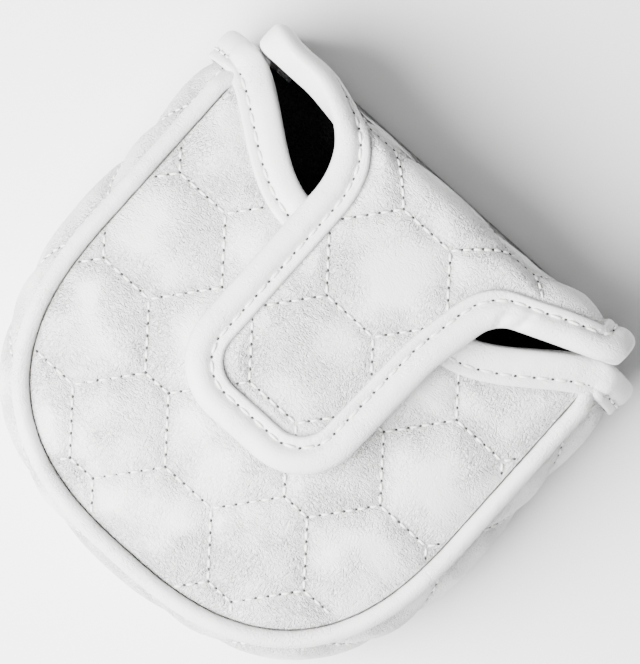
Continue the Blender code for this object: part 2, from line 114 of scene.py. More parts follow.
# The mouth of the pocket
MOUTH_SIDE_Y = corners("mouth_binding")[0][1]
MOUTH_MIDDLE_Y = -31.5 * MM
MOUTH_FLAT_HALF = 20.0 * MM
MOUTH_END = SEAM_X + 4.3 * MM

# The flap, up the face, round the fold and over the crown
FOLD_RADIUS = 8.0 * MM
FACE_Y = FACE_LO[1]
FACE_FOOT = FACE_LO[2]
FACE_RISE = FLAP_HI[2] - FOLD_RADIUS - FACE_FOOT
TOP_START = FACE_RISE + FOLD_RADIUS * math.pi / 2
FACE_HALF = corners("flap_binding")[1][0]
FACE_IN = 3.4 * MM
FACE_SIDE_IN = 1.1 * MM
FOOT_IN = 0.8 * MM

# Quilting: hexagons in columns, a large and a small column in turn
COLUMN = 19.8 * MM
ROW = 24.4 * MM
LARGE_HALF = 6.6 * MM
SMALL_HALF = 3.3 * MM
CROWN_QUILT = (-0.7 * MM, -17.3 * MM)
FLAP_QUILT = (-2.0 * MM, -18.6 * MM)
WALL_QUILT = (0, 7.0 * MM)

# Padding: how high it puffs and within what distance, and the small folds at its seams
PUFF = 1.6 * MM
PUFF_REACH = 3.0 * MM
SEAM_SOFT = 0.45 * MM
SEAM_FLOOR = -0.1 * MM
WALL_FLOOR = -1.1 * MM
PUCKER = 0.20 * MM
PUCKER_REACH = 3.2 * MM

# Bindings: their width, their swell over and under the leather, and the step along their edge
BINDING_WIDTH = 8.0 * MM
TUCK = BINDING_WIDTH - 0.7 * MM
MOUTH_SWELL = (0.78, 1.0)
FLAP_SWELL = (1.0, 0.75)
EDGE_STEP = 0.8 * MM

# Sewing: stitch lengths, and each thread's radius with the share of its stitch that shows
QUILT_STITCH = 2.5 * MM
EDGE_STITCH = 4.0 * MM
STITCH_IN = 5.7 * MM
QUILT_THREAD = (0.31 * MM, 0.72)
EDGE_THREAD = (0.33 * MM, 0.66)
HOLE_RADIUS = 0.36 * MM
HOLE_RAISE = 0.08 * MM


# ---------------------------------------------------------------- helpers


def smoothstep(t):
    """0 below t = 0, 1 above t = 1, and 3t^2 - 2t^3 between."""
    t = np.clip(t, 0, 1)
    return t * t * (3 - 2 * t)


def soft_noise(a, b, seed):
    """Smooth noise from -1 to 1: random values on whole numbers, eased between by 3t^2 - 2t^3."""
    a, b = np.broadcast_arrays(a, b)
    size = 128
    table = np.random.default_rng(seed).uniform(-1, 1, (size, size))
    i, j = np.floor(a).astype(int), np.floor(b).astype(int)
    u, v = smoothstep(a - i), smoothstep(b - j)
    i, j, k, m = i % size, j % size, (i + 1) % size, (j + 1) % size
    low = table[i, j] * (1 - u) + table[k, j] * u
    high = table[i, m] * (1 - u) + table[k, m] * u
    return low * (1 - v) + high * v


def grid_quads(rows, columns, wrap=False):
    """The four corner numbers of each cell of a grid; wrap joins the last column to the first."""
    index = np.arange(rows * columns).reshape(rows, columns)
    if wrap:
        index = np.column_stack([index, index[:, :1]])
    cells = (index[:-1, :-1], index[:-1, 1:], index[1:, 1:], index[1:, :-1])
    return np.stack([c.ravel() for c in cells], 1)


def volume(points, quads):
    """Six times the volume inside closed quads: the sum of p0 . (p1 x p2) over their triangles."""
    a, b, c, d = (points[quads[:, i]] for i in range(4))
    return (np.einsum("ij,ij->", a, np.cross(b, c)) + np.einsum("ij,ij->", a, np.cross(c, d)))


def make_mesh(name, points, faces, finish, marks=None):
    """An object at the origin from points and faces, smooth shaded, with point values for its finish."""
    mesh = bpy.data.meshes.new(name)
    mesh.from_pydata(points.reshape(-1, 3).tolist(), [], faces if isinstance(faces, list) else faces.tolist())
    mesh.shade_smooth()
    for key, values in (marks or {}).items():
        layer = mesh.attributes.new(key, "FLOAT", "POINT")
        layer.data.foreach_set("value", np.ascontiguousarray(values, np.float32).ravel())
    mesh.materials.append(finish)
    mesh.update()
    obj = bpy.data.objects.new(name, mesh)
    bpy.context.scene.collection.objects.link(obj)
    return obj


def closed_sheet(name, outer, inner, finish, marks=None):
    """A panel between two grids of points of one size, closed round its edge."""
    rows, columns = outer.shape[:2]
    top = grid_quads(rows, columns)
    under = top[:, ::-1] + rows * columns
    index = np.arange(rows * columns).reshape(rows, columns)
    rim = np.concatenate([index[0], index[1:, -1], index[-1, -2::-1], index[-2:0:-1, 0]])
    after = np.roll(rim, -1)
    side = np.stack([after, rim, rim + rows * columns, after + rows * columns], 1)
    points = np.concatenate([outer.reshape(-1, 3), inner.reshape(-1, 3)])
    quads = np.concatenate([top, under, side])
    if volume(points, quads) < 0:
        quads = quads[:, ::-1]
    both = {k: np.concatenate([np.ravel(v), np.ravel(v)]) for k, v in (marks or {}).items()}
    return make_mesh(name, points, quads, finish, both)


def closed_tube(name, rings, finish, marks=None):
    """A solid through closed rings of points; each end is closed by a face of all its points."""
    count, size = rings.shape[:2]
    quads = grid_quads(count, size, wrap=True)
    points = rings.reshape(-1, 3)
    inside = volume(points, quads) < 0
    if inside:
        quads = quads[:, ::-1]
    first, last = list(range(size)), list(range((count - 1) * size, count * size))
    ends = [first, last[::-1]] if inside else [first[::-1], last]
    return make_mesh(name, points, quads.tolist() + ends, finish, marks)


def along_path(path):
    """The distance from a path's start to each of its points."""
    return np.concatenate([[0], np.cumsum(np.linalg.norm(np.diff(path, axis=0), axis=1))])


def even_path(path, normals, step):
    """The path and its normals at even steps of about step."""
    length = along_path(path)
    at = np.linspace(0, length[-1], max(2, round(length[-1] / step)) + 1)
    place = np.stack([np.interp(at, length, path[:, i]) for i in (0, 1)], 1)
    out = np.stack([np.interp(at, length, normals[:, i]) for i in (0, 1)], 1)
    return at, place, out / np.linalg.norm(out, axis=1, keepdims=True)


# ---------------------------------------------------------------- the curved forms


def seam_table():
    """The seam line from the toe's front round the rear to the heel's front.

    |x / half width|^p + |y / rear|^p = 1 behind y = 0, and straight in front of it.
    Columns: distance along, x, y and the outward normal.
    """
    turn = np.linspace(0, np.pi, 1441)
    power = 2 / SEAM_POWER
    x = -SEAM_X * np.sign(np.cos(turn)) * np.abs(np.cos(turn)) ** power
    y = SEAM_REAR * np.abs(np.sin(turn)) ** power
    front = np.linspace(MOUTH_SIDE_Y, -0.2 * MM, 120)
    x = np.concatenate([np.full(120, -SEAM_X), x, np.full(120, SEAM_X)])
    y = np.concatenate([front, y, front[::-1]])
    nx = np.sign(x) * np.abs(x / SEAM_X) ** (SEAM_POWER - 1) / SEAM_X
    ny = np.maximum(y / SEAM_REAR, 0) ** (SEAM_POWER - 1) / SEAM_REAR
    size = np.hypot(nx, ny)
    along = along_path(np.stack([x, y], 1))
    return np.stack([along, x, y, nx / size, ny / size], 1)


SEAM = seam_table()
SEAM_LENGTH = SEAM[-1, 0]


def seam_at(along):
    """x, y and the outward normal's x and y at a distance along the seam line."""
    return tuple(np.interp(along, SEAM[:, 0], SEAM[:, i]) for i in range(1, 5))


def crown_at(x, y, height):
    """The crown: z = top - drop s^(4/p), s = |x / half width|^p + |y / rear|^p, raised along its normal."""
    side, back = np.abs(x) / SEAM_X, np.maximum(y, 0) / SEAM_REAR
    s = side**SEAM_POWER + back**SEAM_POWER
    z = CROWN_TOP - CROWN_DROP * s ** (ROLL_OFF / SEAM_POWER)
    steep = -CROWN_DROP * ROLL_OFF * s ** (ROLL_OFF / SEAM_POWER - 1)
    slope_x = steep * np.sign(x) * side ** (SEAM_POWER - 1) / SEAM_X
    slope_y = steep * back ** (SEAM_POWER - 1) / SEAM_REAR
    size = np.sqrt(1 + slope_x**2 + slope_y**2)
    return np.stack([x - height * slope_x / size, y - height * slope_y / size, z + height / size], -1)


def wall_out(z, bulge):
    """How far the wall stands out at height z, and its slope: a parabola each way from its widest."""
    upper = z > WALL_WIDEST
    span = np.where(upper, WALL_TOP, WALL_FOOT) - WALL_WIDEST
    fall = bulge - np.where(upper, WALL_TOP_OUT, WALL_FOOT_OUT)
    share = (z - WALL_WIDEST) / span
    return bulge - fall * share**2, -2 * fall * share / span


def wall_at(along, z, height):
    """The side wall at a distance along the seam line and a height z, raised along its normal."""
    x, y, nx, ny = seam_at(along)
    out, slope = wall_out(z, BULGE_REAR + (BULGE_SIDE - BULGE_REAR) * nx**2)
    steep = np.hypot(1, slope)
    out = out + height / steep
    return np.stack([x + nx * out, y + ny * out, z - height * slope / steep], -1)


def sole_at(x, y, height):
    """The flat sole, whose outer side faces down."""
    x, y, height = np.broadcast_arrays(x, y, height)
    return np.stack([x, y, SOLE_LO[2] - height], -1)


def face_in(x, along):
    """How far the face is drawn in: most in the middle, eased from the foot and out again past the fold."""
    side = smoothstep((np.abs(x) - 23 * MM) / (14 * MM))
    most = FACE_IN + (FACE_SIDE_IN - FACE_IN) * side
    rise = FOOT_IN + (most - FOOT_IN) * smoothstep(along / (9 * MM))
    return rise * (1 - smoothstep((along - FACE_RISE) / (18 * MM)))


def flap_at(x, along, height):
    """The flap: up the face, a quarter circle round the fold, then back over the crown."""
    x, along, height = np.broadcast_arrays(x, along, height)
    turn = np.clip((along - FACE_RISE) / FOLD_RADIUS, 0, np.pi / 2)
    back = np.maximum(along - TOP_START, 0)
    radius = FOLD_RADIUS + height
    y = FACE_Y + FOLD_RADIUS - radius * np.cos(turn) + back + face_in(x, along)
    z = FACE_FOOT + np.minimum(along, FACE_RISE) + radius * np.sin(turn)
    return np.stack([x, y, z], -1)


def pocket_section():
    """The pocket from the front: the crown's line to the seam, then the wall's down to its foot.

    Columns: distance from the middle, x, z and the outward normal's x and z.
    """
    x = np.linspace(0, SEAM_X, CROWN_STEPS)
    slope = -CROWN_DROP * ROLL_OFF / SEAM_X * (x / SEAM_X) ** (ROLL_OFF - 1)
    steep = np.hypot(1, slope)
    z = CROWN_TOP - CROWN_DROP * (x / SEAM_X) ** ROLL_OFF
    crown = np.stack([x, z, -slope / steep, 1 / steep], 1)
    z = np.linspace(WALL_TOP, WALL_FOOT, 160)
    out, slope = wall_out(z, BULGE_SIDE)
    steep = np.hypot(1, slope)
    rows = np.concatenate([crown, np.stack([SEAM_X + out, z, 1 / steep, -slope / steep], 1)])
    return np.column_stack([along_path(rows[:, :2]), rows])


SECTION = pocket_section()


def mouth_at(along, y, height):
    """A point of the pocket's front at a signed distance from its middle, raised by height."""
    along, y, height = np.broadcast_arrays(along, y, height)
    side = np.where(along < 0, -1.0, 1.0)
    x, z, nx, nz = (np.interp(np.abs(along), SECTION[:, 0], SECTION[:, i]) for i in range(1, 5))
    size = np.hypot(nx, nz)
    return np.stack([side * (x + height * nx / size), y, z + height * nz / size], -1)


def mouth_edge(x):
    """The mouth's free edge: level across the middle, then eased back to the corners."""
    share = smoothstep((np.abs(x) - MOUTH_FLAT_HALF) / (MOUTH_END - MOUTH_FLAT_HALF))
    return MOUTH_MIDDLE_Y + (MOUTH_SIDE_Y - MOUTH_MIDDLE_Y) * share


def mouth_path(step):
    """The mouth's free edge laid flat: distance along, points and outward normals."""
    end = SECTION[-1, 0]
    flat = np.linspace(-end, end, 1201)
    x = np.interp(np.abs(flat), SECTION[:, 0], SECTION[:, 1])
    edge = np.stack([flat, mouth_edge(x)], 1)
    run = np.gradient(edge, axis=0)
    run /= np.linalg.norm(run, axis=1, keepdims=True)
    return even_path(edge, np.stack([run[:, 1], -run[:, 0]], 1), step)


def rounded_path(turns):
    """A path through corners (x, along, radius), each rounded by an arc of its radius.

    Returns points and normals to the left of the way it runs.
    """
    corner = np.array([t[:2] for t in turns], float)
    points = [corner[0]]
    for i in range(1, len(turns) - 1):
        radius = turns[i][2]
        before, after = corner[i - 1] - corner[i], corner[i + 1] - corner[i]
        before, after = before / np.linalg.norm(before), after / np.linalg.norm(after)
        turn = math.pi - math.acos(np.clip(before @ after, -1, 1))
        start = corner[i] + before * radius * math.tan(turn / 2)
        left = 1.0 if before[0] * after[1] - before[1] * after[0] < 0 else -1.0
        centre = start + left * radius * np.array([before[1], -before[0]])
        angle = np.linspace(0, left * turn, 40)
        c, s, first = np.cos(angle), np.sin(angle), start - centre
        arc = centre + np.stack([c * first[0] - s * first[1], s * first[0] + c * first[1]], 1)
        points.append(arc)
    points.append(corner[-1])
    path = np.concatenate([np.atleast_2d(p) for p in points])
    run = np.gradient(path, axis=0)
    run /= np.linalg.norm(run, axis=1, keepdims=True)
    return path, np.stack([-run[:, 1], run[:, 0]], 1)


def along_at(y):
    """The distance along the flap at y over the crown."""
    return TOP_START + y - (FACE_Y + FOLD_RADIUS)


def flap_path(step):
    """The flap's free edge laid flat, from the toe foot round the tongue to the heel foot."""
    heel_shoulder = TOP_START - 5.0 * MM
    turns = [
        (-FACE_HALF, 0, 0),
        (-FACE_HALF, TOP_START - 1.3 * MM, 9 * MM),
        (-25.8 * MM, along_at(-38 * MM), 8 * MM),
        (-22.6 * MM, along_at(-22.5 * MM), 40 * MM),
        (-21.3 * MM, along_at(16.8 * MM), 15 * MM),
        (21.3 * MM, along_at(16.8 * MM), 15 * MM),
        (21.3 * MM, heel_shoulder, 19 * MM),
        (FACE_HALF, heel_shoulder, 9 * MM),
        (FACE_HALF, 0, 0),
    ]
    return even_path(*rounded_path(turns), step)


# ---------------------------------------------------------------- quilting and sewing


def quilt_lines(low, high, origin):
    """The quilting's seams over a flat box, as rows of x0, y0, x1, y1.

    Large level seams sit on every second column, small ones half a row off on the
    columns between, and slanted seams join their ends.
    """
    low, high, origin = np.array(low), np.array(high), np.array(origin)
    repeat, half_row = np.array([2 * COLUMN, ROW]), ROW / 2
    first = np.floor((low - origin) / repeat).astype(int) - 1
    last = np.ceil((high - origin) / repeat).astype(int) + 2
    rows = []
    for m in range(first[0], last[0]):
        for n in range(first[1], last[1]):
            x, y = origin + np.array([m, n]) * repeat
            rows.append((x - LARGE_HALF, y, x + LARGE_HALF, y))
            rows.append((x + COLUMN - SMALL_HALF, y + half_row, x + COLUMN + SMALL_HALF, y + half_row))
            for side in (-1, 1):
                near, far = x + side * LARGE_HALF, x + side * (COLUMN - SMALL_HALF)
                rows.append((near, y, far, y + half_row))
                rows.append((near, y, far, y - half_row))
    rows = np.array(rows)
    middle = (rows[:, :2] + rows[:, 2:]) / 2
    reach = 14 * MM
    keep = np.all((middle > low - reach) & (middle < high + reach), axis=1)
    return rows[keep]


def path_lines(path, every=1):
    """A path as rows of x0, y0, x1, y1."""
    path = path[::every] if (len(path) - 1) % every == 0 else np.concatenate([path[::every], path[-1:]])
    return np.concatenate([path[:-1], path[1:]], 1)


def nearest_line(a, b, lines):
    """For each flat point: distance to the nearest line, distance along it, and which line."""
    best = np.full(a.shape, 1.0)
    along, which = np.zeros(a.shape), np.zeros(a.shape, int)
    for i, (x0, y0, x1, y1) in enumerate(lines):
        dx, dy = x1 - x0, y1 - y0
        length = math.hypot(dx, dy)
        t = np.clip(((a - x0) * dx + (b - y0) * dy) / length**2, 0, 1)
        d = np.hypot(a - x0 - t * dx, b - y0 - t * dy)
        closer = d < best
        best = np.where(closer, d, best)
        along = np.where(closer, t * length, along)
        which = np.where(closer, i, which)
    return best, along, which


def quilted(a, b, lines, edge, edge_along, seed, floor=SEAM_FLOOR):
    """The padded leather's height over its flat form, and how much it is gathered.

    Height = floor + puff (1 - exp(-(sqrt(d^2 + soft^2) - soft) / reach)), d the distance to
    the nearest seam or edge, plus small folds across that seam that die away with d.
    """
    d, along, which = nearest_line(a, b, lines)
    at_edge = edge < d
    d = np.minimum(d, edge)
    along = np.where(at_edge, edge_along, along)
    which = np.where(at_edge, 0, which)
    away = np.sqrt(d**2 + SEAM_SOFT**2) - SEAM_SOFT
    puff = PUFF * (1 - np.exp(-away / PUFF_REACH))
    gather = np.exp(-d / PUCKER_REACH)
    folds = soft_noise(along / (1.5 * MM), d / (5 * MM) + 7.3 * which, seed)
    broad = soft_noise(a / (6 * MM), b / (6 * MM), seed + 1)
    lift = PUCKER * folds * gather * np.minimum(1, d / (0.8 * MM)) + 0.10 * MM * broad * (1 - gather)
    return floor + puff + lift, gather


def seam_stitches(lines, pitch, inside):
    """Stitch middles, directions and lengths along straight seams, where inside(x, y) holds."""
    middles, ways, lengths = [], [], []
    for x0, y0, x1, y1 in lines:
        length = math.hypot(x1 - x0, y1 - y0)
        count = max(1, round(length / pitch))
        share = (np.arange(count) + 0.5) / count
        middles.append(np.stack([x0 + (x1 - x0) * share, y0 + (y1 - y0) * share], 1))
        ways.append(np.tile([(x1 - x0) / length, (y1 - y0) / length], (count, 1)))
        lengths.append(np.full(count, length / count))
    middles, ways, lengths = np.concatenate(middles), np.concatenate(ways), np.concatenate(lengths)
    keep = inside(middles[:, 0], middles[:, 1])
    return middles[keep], ways[keep], lengths[keep]


def path_stitches(path, pitch):
    """Stitch middles, directions and lengths along a curved flat path."""
    length = along_path(path)
    count = round(length[-1] / pitch)
    at = (np.arange(count) + 0.5) * length[-1] / count
    place = np.stack([np.interp(at, length, path[:, i]) for i in (0, 1)], 1)
    ahead = np.stack([np.interp(at + 0.2 * MM, length, path[:, i]) for i in (0, 1)], 1)
    way = ahead - place
    size = np.linalg.norm(way, axis=1, keepdims=True)
    return place, way / np.maximum(size, 1e-9), np.full(count, length[-1] / count)


def surface_axes(surface, place, way, height):
    """At each flat place: the point, the direction of sewing, the way across, and the normal."""
    step = 0.2 * MM
    point = surface(place[:, 0], place[:, 1], height)
    ahead = surface(place[:, 0] + step * way[:, 0], place[:, 1] + step * way[:, 1], height)
    behind = surface(place[:, 0] - step * way[:, 0], place[:, 1] - step * way[:, 1], height)
    normal = surface(place[:, 0], place[:, 1], height + step) - point
    along = ahead - behind
    along /= np.linalg.norm(along, axis=1, keepdims=True)
    normal /= np.linalg.norm(normal, axis=1, keepdims=True)
    return point, along, np.cross(normal, along), normal


def sew(name, stitches, surface, height, radius, share, finish):
    """One object of many stitches: each a thread that rises from one needle hole and dips into the next.

    A stitch is rings of 6 points at u from -1 to 1, of radius r sqrt(1 - 0.8 u^4), on an arch
    r (0.55 - 1.5 u^4) over the leather. Its end rings are drawn in to 0.35 of that radius.
    """
    place, way, pitch = stitches
    count, sides = len(place), 6
    u = np.array([-1, -0.86, -0.45, 0.45, 0.86, 1])
    ring = 2 * np.pi * np.arange(sides) / sides
    point, along, across, normal = surface_axes(surface, place, way, height)
    swell = radius * np.sqrt(np.maximum(1 - 0.8 * u**4, 0.02))
    swell[[0, -1]] *= 0.35
    lift = radius * (0.55 - 1.5 * u**4)
    reach = 0.5 * share * pitch
    spots = point[:, None] + along[:, None] * (u[None, :, None] * reach[:, None, None])
    spots = spots + normal[:, None] * lift[None, :, None]
    round_part = (np.cos(ring)[:, None, None, None] * across[None, :, None]
                  + np.sin(ring)[:, None, None, None] * normal[None, :, None])
    points = spots[None] + round_part * swell[None, None, :, None]
    points = points.transpose(1, 2, 0, 3)
    one = grid_quads(len(u), sides, wrap=True)
    faces = (one[None] + (np.arange(count) * len(u) * sides)[:, None, None]).reshape(-1, 4)
    solid = points.reshape(-1, 3)
    if volume(solid, faces) < 0:
        faces = faces[:, ::-1]
        ends = np.stack([np.arange(sides), np.arange(sides)[::-1] + (len(u) - 1) * sides])
    else:
        ends = np.stack([np.arange(sides)[::-1], np.arange(sides) + (len(u) - 1) * sides])
    caps = (ends[None] + (np.arange(count) * len(u) * sides)[:, None, None]).reshape(-1, sides)
    return make_mesh(name, solid, faces.tolist() + caps.tolist(), finish)


def hole_shade_beads(name, stitches, surface, height, radius, finish):
    """One object of many dark lens-shaped beads, set in the leather at each needle hole between the stitches
    as painted shade.

    Each is a ring of 8 points, 0.8 as wide as it is long, with a point 0.12 of its radius
    over it and one 0.6 under it.
    """
    place, way, pitch = stitches
    ends = place + way * pitch[:, None] / 2
    point, along, across, normal = surface_axes(surface, ends, way, height)
    sides = 8
    angle = 2 * np.pi * np.arange(sides) / sides
    ring = (np.cos(angle)[:, None, None] * along + np.sin(angle)[:, None, None] * across * 0.8)
    rim = point[None] + ring * radius
    top = point + normal * 0.12 * radius
    low = point - normal * 0.6 * radius
    points = np.concatenate([rim.transpose(1, 0, 2), top[:, None], low[:, None]], 1)
    i = np.arange(sides)
    j = (i + 1) % sides
    fan = np.concatenate([np.stack([i, j, np.full(sides, sides)], 1),
                          np.stack([j, i, np.full(sides, sides + 1)], 1)])
    faces = (fan[None] + (np.arange(len(place)) * (sides + 2))[:, None, None]).reshape(-1, 3)
    flat = points.reshape(-1, 3)
    a, b, c = (flat[faces[:, k]] for k in range(3))
    if np.einsum("ij,ij->", a, np.cross(b, c)) < 0:
        faces = faces[:, ::-1]
    return make_mesh(name, flat, faces, finish)


# ---------------------------------------------------------------- finishes


def new_material(name):
    """A material with its nodes and links."""
    made = bpy.data.materials.new(name)
    made.use_nodes = True
    return made, made.node_tree.nodes, made.node_tree.links


def add(nodes, kind, values=None, **settings):
    """A node with its settings, and constant values on its sockets by name or number."""
    node = nodes.new(kind)
    for key, value in settings.items():
        setattr(node, key, value)
    for key, value in (values or {}).items():
        node.inputs[key].default_value = value
    return node


def combine(nodes, links, operation, first, second):
    """A Math node of two values, each a socket or a number."""
    node = add(nodes, "ShaderNodeMath", operation=operation)
    for i, value in enumerate((first, second)):
        if isinstance(value, (int, float)):
            node.inputs[i].default_value = value
        else:
            links.new(value, node.inputs[i])
    return node.outputs[0]


def ridges(nodes, links, place, stretch, scale, seed):
    """Fine crinkle lines, 1 along the lines and less between: 1 - 4 |noise - 1/2| on stretched places."""
    turned = add(nodes, "ShaderNodeMapping", {"Rotation": seed, "Scale": stretch})
    links.new(place, turned.inputs["Vector"])
    noise = add(nodes, "ShaderNodeTexNoise",
                {"Scale": scale, "Detail": 3, "Roughness": 0.55, "Distortion": 0.5})
    links.new(turned.outputs[0], noise.inputs["Vector"])
    away = combine(nodes, links, "ABSOLUTE", combine(nodes, links, "SUBTRACT", noise.outputs["Fac"], 0.5), 0)
    return combine(nodes, links, "SUBTRACT", 1.0, combine(nodes, links, "MULTIPLY", away, 4.0))


GRAIN_HEIGHT = 0.42 * MM
CELL_HEIGHT = 0.012 * MM


def grain_group():
    """Soft coated leather: crinkle lines that run two ways in patches, over small shallow cells.

    The lines are deeper where the leather is gathered, and fade out on smooth patches.
    Outputs a height in metres and a mask of the creases, which the leather uses for painted shade and gloss.
    """
    group = bpy.data.node_groups.new("leather grain", "ShaderNodeTree")
    face = group.interface
    face.new_socket("Place", in_out="INPUT", socket_type="NodeSocketVector")
    face.new_socket("Depth", in_out="INPUT", socket_type="NodeSocketFloat").default_value = 1
    face.new_socket("Gathered", in_out="INPUT", socket_type="NodeSocketFloat")
    face.new_socket("Height", in_out="OUTPUT", socket_type="NodeSocketFloat")
    face.new_socket("Creases", in_out="OUTPUT", socket_type="NodeSocketFloat")
    nodes, links = group.nodes, group.links
    inside, outside = add(nodes, "NodeGroupInput"), add(nodes, "NodeGroupOutput")
    place = inside.outputs["Place"]
    first = ridges(nodes, links, place, (1.7, 1, 1), 900, (0, 0, 0.75))
    second = ridges(nodes, links, place, (1, 1.7, 1), 980, (0, 0, 0.35))
    patch = add(nodes, "ShaderNodeTexNoise", {"Scale": 95, "Detail": 2})
    links.new(place, patch.inputs["Vector"])
    which = add(nodes, "ShaderNodeMapRange", {"From Min": 0.42, "From Max": 0.58})
    links.new(patch.outputs["Fac"], which.inputs["Value"])
    lines = add(nodes, "ShaderNodeMix", data_type="FLOAT")
    links.new(which.outputs[0], lines.inputs[0])
    links.new(first, lines.inputs[2])
    links.new(second, lines.inputs[3])
    smooth = add(nodes, "ShaderNodeTexNoise", {"Scale": 70, "Detail": 1})
    moved = add(nodes, "ShaderNodeVectorMath", {1: (0.37, 0.11, 0.53)}, operation="ADD")
    links.new(place, moved.inputs[0])
    links.new(moved.outputs[0], smooth.inputs["Vector"])
    spread = add(nodes, "ShaderNodeMapRange",
                 {"From Min": 0.38, "From Max": 0.6, "To Min": 0.15, "To Max": 1.3})
    links.new(smooth.outputs["Fac"], spread.inputs["Value"])
    strength = combine(nodes, links, "MULTIPLY", inside.outputs["Gathered"], 0.8)
    strength = combine(nodes, links, "ADD", strength, spread.outputs[0])
    strength = combine(nodes, links, "MULTIPLY", strength, inside.outputs["Depth"])
    cells = add(nodes, "ShaderNodeTexVoronoi", {"Scale": 1500}, feature="DISTANCE_TO_EDGE")
    links.new(place, cells.inputs["Vector"])
    wide = add(nodes, "ShaderNodeMapRange", {"From Max": 0.2}, interpolation_type="SMOOTHSTEP")
    links.new(cells.outputs["Distance"], wide.inputs["Value"])
    creased = combine(nodes, links, "MULTIPLY", lines.outputs[0], strength)
    height = combine(nodes, links, "MULTIPLY", creased, GRAIN_HEIGHT)
    shallow = combine(nodes, links, "MULTIPLY", wide.outputs[0], CELL_HEIGHT)
    height = combine(nodes, links, "ADD", height, shallow)
    links.new(height, outside.inputs["Height"])
    # Creases: a mask for the painted shade in the grain's creases, and for their gloss
    deep = combine(nodes, links, "SUBTRACT", 1.0, lines.outputs[0])
    links.new(combine(nodes, links, "MULTIPLY", deep, strength), outside.inputs["Creases"])
    return group


GRAIN = grain_group()


def leather(name, colour, depth, roughness):
    """White coated leather: grain, painted shade in its creases and where it's gathered by the seams, a satin
    gloss.
    """
    made, nodes, links = new_material(name)
    shader = nodes["Principled BSDF"]
    place = add(nodes, "ShaderNodeTexCoord").outputs["Object"]
    gathered = add(nodes, "ShaderNodeAttribute", attribute_name="gather").outputs["Fac"]
    grain = add(nodes, "ShaderNodeGroup", node_tree=GRAIN)
    grain.inputs["Depth"].default_value = depth
    links.new(place, grain.inputs["Place"])
    links.new(gathered, grain.inputs["Gathered"])
    bump = add(nodes, "ShaderNodeBump", {"Strength": 1.0, "Distance": 1.0})
    links.new(grain.outputs["Height"], bump.inputs["Height"])
    links.new(bump.outputs[0], shader.inputs["Normal"])
    # Painted shade: the white is mixed towards a copy of itself at 0.45 in the grain's creases and, more
    # strongly, where the leather is most gathered by its seams and stitching
    shade = combine(nodes, links, "MULTIPLY", grain.outputs["Creases"], 0.16)
    seam_shade = combine(nodes, links, "POWER", gathered, 6.0)
    shade = combine(nodes, links, "ADD", shade, combine(nodes, links, "MULTIPLY", seam_shade, 0.30))
    shade_mix = add(nodes, "ShaderNodeMix", data_type="RGBA")
    shade_mix.inputs["A"].default_value = (*colour, 1)
    shade_mix.inputs["B"].default_value = (*[c * 0.45 for c in colour], 1)
    links.new(shade, shade_mix.inputs["Factor"])
    links.new(shade_mix.outputs["Result"], shader.inputs["Base Color"])
    gloss = combine(nodes, links, "MULTIPLY", grain.outputs["Creases"], 0.12)
    gloss = combine(nodes, links, "ADD", gloss, roughness)
    links.new(gloss, shader.inputs["Roughness"])
    shader.inputs["Specular IOR Level"].default_value = 0.42
    return made


def plain(name, colour, roughness):
    """One matt colour."""
    made, nodes = new_material(name)[:2]
    shader = nodes["Principled BSDF"]
    shader.inputs["Base Color"].default_value = (*colour, 1)
    shader.inputs["Roughness"].default_value = roughness
    return made


def mottled(name, dark, light, scale, roughness, depth, **sockets):
    """A matt finish whose colour and height follow one fine noise."""
    made, nodes, links = new_material(name)
    shader = nodes["Principled BSDF"]
    place = add(nodes, "ShaderNodeTexCoord").outputs["Object"]
    noise = add(nodes, "ShaderNodeTexNoise", {"Scale": scale, "Detail": 5, "Roughness": 0.65})
    links.new(place, noise.inputs["Vector"])
    ramp = add(nodes, "ShaderNodeValToRGB")
    ramp.color_ramp.elements[0].position, ramp.color_ramp.elements[1].position = 0.35, 0.65
    ramp.color_ramp.elements[0].color = (*dark, 1)
    ramp.color_ramp.elements[1].color = (*light, 1)
    links.new(noise.outputs["Fac"], ramp.inputs["Fac"])
    links.new(ramp.outputs["Color"], shader.inputs["Base Color"])
    bump = add(nodes, "ShaderNodeBump", {"Strength": 1.0, "Distance": depth})
    links.new(noise.outputs["Fac"], bump.inputs["Height"])
    links.new(bump.outputs[0], shader.inputs["Normal"])
    shader.inputs["Roughness"].default_value = roughness
    for key, value in sockets.items():
        shader.inputs[key.replace("_", " ")].default_value = value
    return made


WHITE = (0.80, 0.80, 0.795)
QUILT_LEATHER = leather("quilted leather", WHITE, 1.0, 0.36)
BINDING_LEATHER = leather("binding leather", WHITE, 0.22, 0.34)
SEWING = mottled("polyester thread", (0.80, 0.80, 0.78), (0.90, 0.90, 0.88), 4200, 0.5, 0.00006)
# Painted shade: near-black beads stand in for the shade inside each needle hole
HOLE_SHADE = plain("needle hole painted shade", (0.05, 0.049, 0.047), 0.9)
PLUSH = mottled("plush lining", (0.004, 0.004, 0.005), (0.020, 0.020, 0.022), 1900, 0.95, 0.0006,
                Sheen_Weight=0.05, Sheen_Roughness=0.4, Specular_IOR_Level=0.15)
FOAM = mottled("padding foam", (0.55, 0.53, 0.47), (0.72, 0.70, 0.64), 1500, 0.95, 0.0004)
CORD = mottled("cotton cord", (0.60, 0.57, 0.50), (0.76, 0.73, 0.66), 2600, 0.9, 0.0004)
NICKEL = mottled("nickel plate", (0.52, 0.51, 0.50), (0.62, 0.61, 0.60), 300, 0.28, 0.00002, Metallic=1.0)


# ---------------------------------------------------------------- finished pieces


def finish_piece(obj, slot, body, *nodes):
    """Hides the imported nodes a piece stands for and parents it to its body; a piece given two bodies only
    has its place baked into its mesh. The slot is not used.
    """
    if nodes:
        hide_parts(*nodes)
    if isinstance(body, str):
        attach(obj, body)
    else:
        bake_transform(obj)


